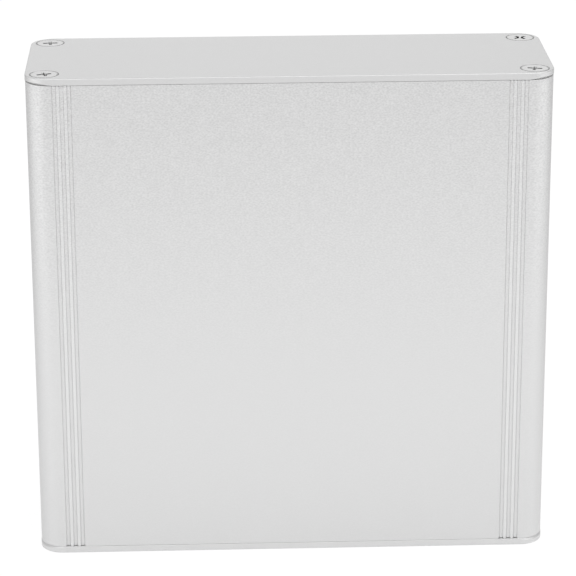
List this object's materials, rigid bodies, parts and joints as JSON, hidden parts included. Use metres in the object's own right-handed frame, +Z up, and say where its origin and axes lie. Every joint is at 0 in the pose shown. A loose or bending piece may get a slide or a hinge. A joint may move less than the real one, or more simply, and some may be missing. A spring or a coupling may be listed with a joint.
{
  "type": "aluminium enclosure",
  "caption": "Extruded aluminium electronics enclosure with rounded long edges, grooved broad faces and flat end panels held by countersunk corner screws.",
  "frame": {"origin": "middle of the lower end panel's outer face, on which the case stands", "axes": "+Z up along the extrusion; X across the broad faces, +X to the right as seen from the front; -Y towards the broad face in the picture"},
  "size_m": [0.1062, 0.0336, 0.1028],
  "materials": {
    "shell": "bead-blasted and silver anodised, matt",
    "panel": "fine-blasted and silver anodised, satin",
    "screw": "bright nickel plate"
  },
  "bodies": {
    "root": {"front_shell": "shell", "rear_shell": "shell", "top_panel": "panel", "bottom_panel": "panel", "top_panel_screws": "screw", "bottom_panel_screws": "screw"}
  },
  "joints": []
}
